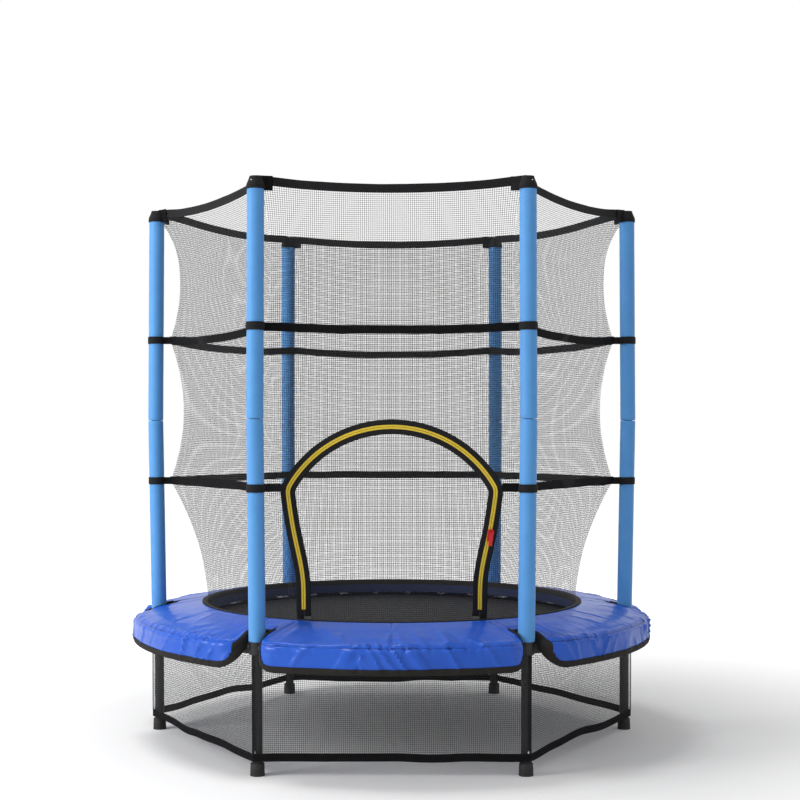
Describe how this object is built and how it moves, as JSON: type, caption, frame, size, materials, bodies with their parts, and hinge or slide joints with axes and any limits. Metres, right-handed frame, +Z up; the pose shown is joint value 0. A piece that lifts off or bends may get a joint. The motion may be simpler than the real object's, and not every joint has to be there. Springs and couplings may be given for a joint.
{
  "type": "trampoline",
  "caption": "Round kids' trampoline: sprung mat, padded edge, straight legs, padded posts and an enclosure net with an arched zip door and a net skirt",
  "frame": {"origin": "centre of the footprint, on the floor", "axes": "+Z up; the zip door faces -Y; two of the posts stand on the X axis"},
  "size_m": [1.4168, 1.394, 1.434],
  "materials": {
    "black_paint": "satin powder coat",
    "post_steel": "satin powder coat",
    "rubber": "moulded",
    "foam": "closed-cell foam, fine texture",
    "black_plastic": "moulded",
    "zinc": "bright zinc",
    "mat_weave": "woven polypropylene",
    "pad_cover": "glossy coated cloth over foam",
    "webbing": "woven webbing",
    "binding": "folded tape",
    "net": "knitted mesh",
    "zip_tape": "moulded chain on woven tape",
    "red_enamel": "enamelled"
  },
  "bodies": {
    "frame": {"leg_1": "black_paint", "leg_2": "black_paint", "leg_3": "black_paint", "leg_4": "black_paint", "leg_5": "black_paint", "leg_6": "black_paint", "foot_1": "rubber", "foot_2": "rubber", "foot_3": "rubber", "foot_4": "rubber", "foot_5": "rubber", "foot_6": "rubber", "rail_arc_1": "black_paint", "rail_arc_2": "black_paint", "rail_arc_3": "black_paint", "rail_arc_4": "black_paint", "rail_arc_5": "black_paint", "rail_arc_6": "black_paint", "lower_post_1": "post_steel", "lower_post_2": "post_steel", "lower_post_3": "post_steel", "lower_post_4": "post_steel", "lower_post_5": "post_steel", "lower_post_6": "post_steel", "foam_lower_1": "foam", "foam_lower_2": "foam", "foam_lower_3": "foam", "foam_lower_4": "foam", "foam_lower_5": "foam", "foam_lower_6": "foam", "foam_upper_1": "foam", "foam_upper_2": "foam", "foam_upper_3": "foam", "foam_upper_4": "foam", "foam_upper_5": "foam", "foam_upper_6": "foam", "upper_posts": "post_steel", "corner_fittings": "black_paint", "leg_screws": "zinc", "post_caps": "black_plastic", "cap_bolts": "zinc", "springs": "zinc", "frame_pad": "pad_cover", "pad_binding": "binding", "net_sides": "net", "net_front": "net", "zip_half_net": "zip_tape", "top_band": "webbing", "corner_pockets": "webbing", "upper_belt": "webbing", "lower_belt": "webbing", "leg_net": "net", "leg_net_hem": "webbing"},
    "mat": {"jump_mat": "mat_weave", "mat_edge": "webbing", "v_rings": "zinc"},
    "door": {"net_door": "net", "zip_half_door": "zip_tape"},
    "slider": {"zip_slider": "red_enamel"},
    "tab": {"pull_tab": "red_enamel"}
  },
  "joints": [
    {"name": "mat_bounce", "type": "slide", "parent": "frame", "child": "mat", "axis": [0, 0, 1], "range_m": [-0.12, 0], "stiffness_N_per_m": 3000, "springref_m": 0.003, "deforming": ["springs"]},
    {"name": "door_swing", "type": "hinge", "parent": "frame", "child": "door", "pos_m": [0, -0.5058, 0.37085], "axis": [1, 0, 0], "range_deg": [0, 90]},
    {"name": "zip_slide", "type": "slide", "parent": "door", "child": "slider", "axis": [0.1111, -0.218, 0.9696], "range_m": [-0.178, 0.078]},
    {"name": "tab_swing", "type": "hinge", "parent": "slider", "child": "tab", "pos_m": [0.24075, -0.51521, 0.58015], "axis": [-0.9889, -0.1213, 0.086], "range_deg": [0, 150]}
  ]
}
